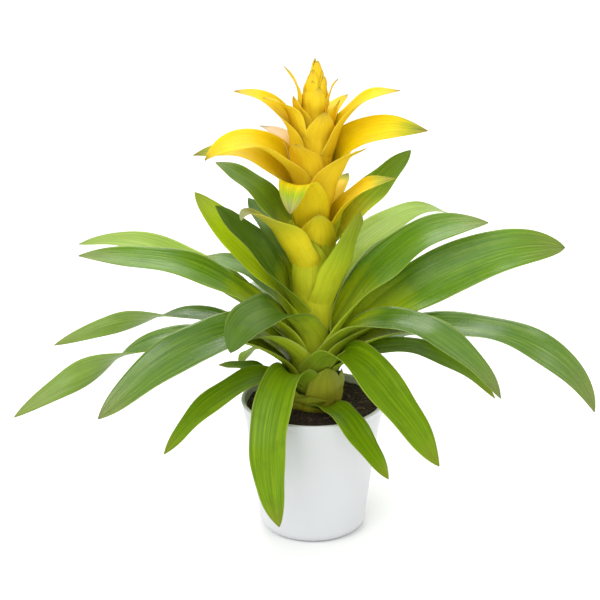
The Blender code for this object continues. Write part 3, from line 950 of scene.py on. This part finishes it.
@dataclass
class Soil:
    """Peat that fills the pot: an uneven bed, loose crumbs and a few pale fibres."""

    top: float = 127.0
    bottom: float = 98.0
    crown: float = 1.8
    lump: float = 0.9
    lump_width: float = 9.0
    radius: float = 64.2
    bottom_radius: float = 60.0
    rings: int = 46
    steps: int = 120
    crumbs: int = 1500
    fibres: int = 26
    fibre_radius: float = 0.28
    fibre_step: float = 1.9
    seed: int = 11

    def height(self, x: float, y: float) -> float:
        """Height of the uneven surface at a place, all in millimetres."""
        out = math.hypot(x, y) / self.radius
        place = Vector((x / self.lump_width, y / self.lump_width, 3.1))
        return self.top + self.crown * (1.0 - out) + self.lump * noise.fractal(place, 0.6, 2.1, 4)

    def build(self) -> None:
        """Build the bed, the crumbs and the fibres."""
        self.build_bed()
        self.build_crumbs()
        self.build_fibres()

    def build_bed(self) -> None:
        """The bed: a turned plug whose top rings are pushed into lumps."""
        outline = [(0.0, self.bottom), (self.bottom_radius, self.bottom)]
        outline += [(float(r), self.top) for r in np.linspace(self.radius, 1.0, self.rings)]
        bed = lathe("soil_bed", outline + [(0.0, self.top)], self.steps)
        for corner in bed.data.vertices:
            if corner.co.z > (self.top - 1.0) * MM:
                corner.co.z = self.height(corner.co.x / MM, corner.co.y / MM) * MM
        bed.data.materials.append(PeatFinish("peat_bed").material())
        settle(bed, "soil", "soil")

    def build_crumbs(self) -> None:
        """Loose crumbs of peat and bark, half sunk in the bed."""
        draw = random.Random(self.seed)
        data = bmesh.new()
        for _ in range(self.crumbs):
            turn = draw.uniform(0.0, math.tau)
            out = math.sqrt(draw.uniform(0.08, 0.955)) * (self.radius - 1.0)
            x, y = out * math.cos(turn), out * math.sin(turn)
            size = draw.uniform(0.5, 1.9) ** 1.3
            place = (Matrix.Translation(Vector((x, y, self.height(x, y) + 0.2)) * MM)
                     @ Matrix.Rotation(draw.uniform(0.0, math.tau), 4, "Z")
                     @ Matrix.Rotation(draw.uniform(-0.6, 0.6), 4, "X")
                     @ Matrix.Diagonal((size * MM, size * draw.uniform(0.4, 0.9) * MM,
                                        size * draw.uniform(0.3, 0.6) * MM, 1.0)))
            bmesh.ops.create_icosphere(data, subdivisions=1, radius=1.0, matrix=place)
        crumbs = finish_object("soil_crumbs", data)
        crumbs.data.materials.append(
            PeatFinish("peat_crumbs", dark="#20160F", light="#5A4230", grain_mm=4.0).material())
        settle(crumbs, "soil")

    def build_fibres(self) -> None:
        """Pale bent fibres that lie on the peat."""
        draw = random.Random(self.seed + 1)
        curve = bpy.data.curves.new("soil_fibres", "CURVE")
        curve.dimensions = "3D"
        curve.bevel_depth = self.fibre_radius * MM
        curve.bevel_resolution = 1
        curve.use_fill_caps = True
        for _ in range(self.fibres):
            turn = draw.uniform(0.0, math.tau)
            out = draw.uniform(30.0, self.radius - 6.0)
            heading = draw.uniform(0.0, math.tau)
            x, y = out * math.cos(turn), out * math.sin(turn)
            line = curve.splines.new("POLY")
            line.points.add(5)
            for point in line.points:
                point.co = (x * MM, y * MM, (self.height(x, y) + 0.9) * MM, 1.0)
                heading += draw.uniform(-0.7, 0.7)
                step_x = self.fibre_step * math.cos(heading)
                step_y = self.fibre_step * math.sin(heading)
                if math.hypot(x + step_x, y + step_y) < self.radius - 2.0:
                    x, y = x + step_x, y + step_y
        shaped = new_object("soil_fibres_line", curve)
        mesh = bpy.data.meshes.new_from_object(
            shaped.evaluated_get(bpy.context.evaluated_depsgraph_get()))
        bpy.data.objects.remove(shaped, do_unlink=True)
        fibres = new_object("soil_fibres", mesh)
        fibres.data.materials.clear()
        fibres.data.materials.append(
            PeatFinish("peat_fibre", dark="#6A5038", light="#A88A64", grain_mm=3.0).material())
        settle(fibres, "soil")


# ---- pot and studio


@dataclass
class Pot:
    """Flared cover pot with a rounded foot, a thin rolled lip and a soft line below it."""

    rim_radius: float = 70.0
    height: float = 134.0
    wall: float = 4.0
    floor: float = 6.0
    foot_flat: float = 40.0
    foot_round: float = 12.6
    flare: tuple[tuple[float, float], ...] = (
        (16.0, 52.5), (46.0, 56.0), (76.0, 60.0), (106.0, 64.6))
    groove_height: float = 127.5
    groove_width: float = 1.1
    groove_depth: float = 0.28
    steps: int = 160

    def outer(self, height: float) -> float:
        """Outer radius at a height."""
        heights, radii = zip(*self.flare, (self.height, self.rim_radius))
        groove = math.exp(-((height - self.groove_height) / self.groove_width) ** 2)
        return float(np.interp(height, heights, radii)) - self.groove_depth * groove

    def side(self, start: float, end: float, count: int,
             inset: float = 0.0) -> list[tuple[float, float]]:
        """Points on the wall from one height to another, `inset` in from its outside."""
        return [(self.outer(float(z)) - inset, float(z)) for z in np.linspace(start, end, count)]

    def build(self) -> None:
        """Turn the pot in one piece and glaze it."""
        # From the middle of the underside, up the outside, over the lip and down the inside.
        outline = [(0.0, 0.0), (self.foot_flat - 3.0, 0.0), (self.foot_flat, 0.05)]
        outline += arc((self.foot_flat, self.foot_round), self.foot_round - 0.02, -84.0, -6.0, 14)
        outline += self.side(20.0, 122.0, 22) + self.side(123.0, 131.6, 14)
        lip = self.wall / 2.0
        outline += arc((self.rim_radius - lip, self.height - lip), lip, 8.0, 172.0, 12)
        outline += self.side(128.0, 24.0, 16, self.wall)
        outline += [(44.0, self.floor + 4.0), (38.0, self.floor), (0.0, self.floor)]
        pot = lathe("pot_shell", outline, self.steps)
        pot.data.materials.append(GlazeFinish().material())
        settle(pot, "pot", "pot")


@dataclass
class Studio:
    """Pale floor, soft overhead and side lights, and the camera."""

    eye: tuple[float, float, float] = (-0.0126, -1.833, 0.935)
    pitch: float = 69.1
    lens: float = 123.4
    sensor: float = 36.0
    aim: tuple[float, float, float] = (0.0, 0.0, 0.22)
    floor: str = "#FBFBFB"
    floor_half: float = 6.0
    floor_drop: float = 0.0002
    sky: float = 0.68

    def build(self) -> None:
        """Set up the floor, the lights, the world and the camera."""
        data = bmesh.new()
        bmesh.ops.create_grid(data, x_segments=1, y_segments=1, size=self.floor_half)
        ground = finish_object("studio_floor", data)
        ground.location.z = -self.floor_drop
        material, _, shader = new_material("studio_floor_paint")
        set_inputs(shader, {"Base Color": linear(self.floor), "Roughness": 0.9}, {})
        ground.data.materials.append(material)
        self.lamp("top", "AREA", (0.0, 0.9, 1.6), size=1.2, energy=20.0)
        self.lamp("left", "AREA", (-1.5, -0.9, 1.1), size=1.0, energy=7.0)
        self.lamp("right", "AREA", (1.5, -0.9, 1.1), size=1.0, energy=6.0)
        self.lamp("sun", "SUN", (-0.35, -0.9, 1.22), angle=math.radians(45.0), energy=1.4)
        world = bpy.data.worlds.new("studio_world")
        world.use_nodes = True
        set_inputs(world.node_tree.nodes["Background"],
                   {"Color": linear("#FFFFFF"), "Strength": self.sky}, {})
        bpy.context.scene.world = world
        bpy.context.scene.view_settings.view_transform = "Standard"
        camera = new_object("studio_camera", bpy.data.cameras.new("studio_camera"))
        camera.location = self.eye
        camera.rotation_euler = (math.radians(self.pitch), 0.0, 0.0)
        camera.data.lens = self.lens
        camera.data.sensor_width = self.sensor
        bpy.context.scene.camera = camera

    def lamp(self, name: str, kind: str, place: tuple[float, float, float],
             **settings: float) -> None:
        """Hang one soft light that faces the plant.

        Args:
            name: What the light does.
            kind: "AREA" for a square panel, "SUN" for light that is even all over.
            place: Where it hangs, in metres.
            settings: The light's own strength and spread.
        """
        light = bpy.data.lights.new(f"studio_{name}", kind)
        for key, value in settings.items():
            setattr(light, key, value)
        item = new_object(f"studio_{name}", light)
        item.location = place
        ray = Vector(self.aim) - Vector(place)
        item.rotation_euler = ray.to_track_quat("-Z", "Y").to_euler()


def main() -> None:
    """Build the studio and the plant, part by part."""
    logging.basicConfig(level=logging.INFO, format="%(name)s: %(message)s")
    Studio().build()
    Pot().build()
    Soil().build()
    Stem().build()
    Rosette().build()
    Spike().build()
    bpy.context.view_layer.update()


if __name__ == "__main__":
    main()
